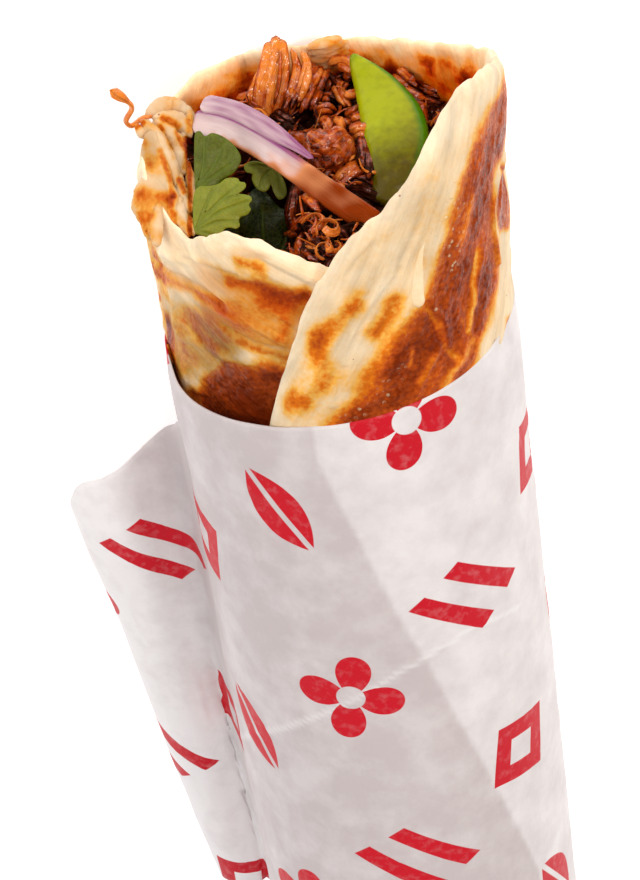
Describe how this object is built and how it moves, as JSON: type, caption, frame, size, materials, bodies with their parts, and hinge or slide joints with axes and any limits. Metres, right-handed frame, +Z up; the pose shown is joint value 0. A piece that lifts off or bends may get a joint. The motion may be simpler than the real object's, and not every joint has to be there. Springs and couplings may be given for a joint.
{
  "type": "kati roll",
  "caption": "Rolled flaky flatbread filled with spiced shredded chicken, onion, pepper and coriander, in a paper wrapper with a loose curled end.",
  "frame": {"origin": "on the table, under the middle of the bounding box of the roll as it lies on its side", "axes": "+Z up, -Y out of the open end of the roll, +X towards the loose curled end of the paper"},
  "size_m": [0.0858, 0.1996, 0.0596],
  "materials": {
    "flatbread": "soft, slightly oily, browned in patches",
    "chicken": "moist, glazed with sauce",
    "onion": "wet, slightly translucent",
    "pepper": "waxy, wet",
    "leaf": "soft satin",
    "wrapping_paper": "matte, thin, slightly translucent"
  },
  "bodies": {
    "root": {"paratha": "flatbread", "shredded_chicken": "chicken", "fibrous_chicken": "chicken", "chicken_chunk": "chicken", "curly_shred": "chicken", "onion_front": "onion", "onion_back": "onion", "green_pepper": "pepper", "coriander_front": "leaf", "coriander_small": "leaf", "coriander_back": "leaf", "paper_wrapper": "wrapping_paper"}
  },
  "joints": []
}
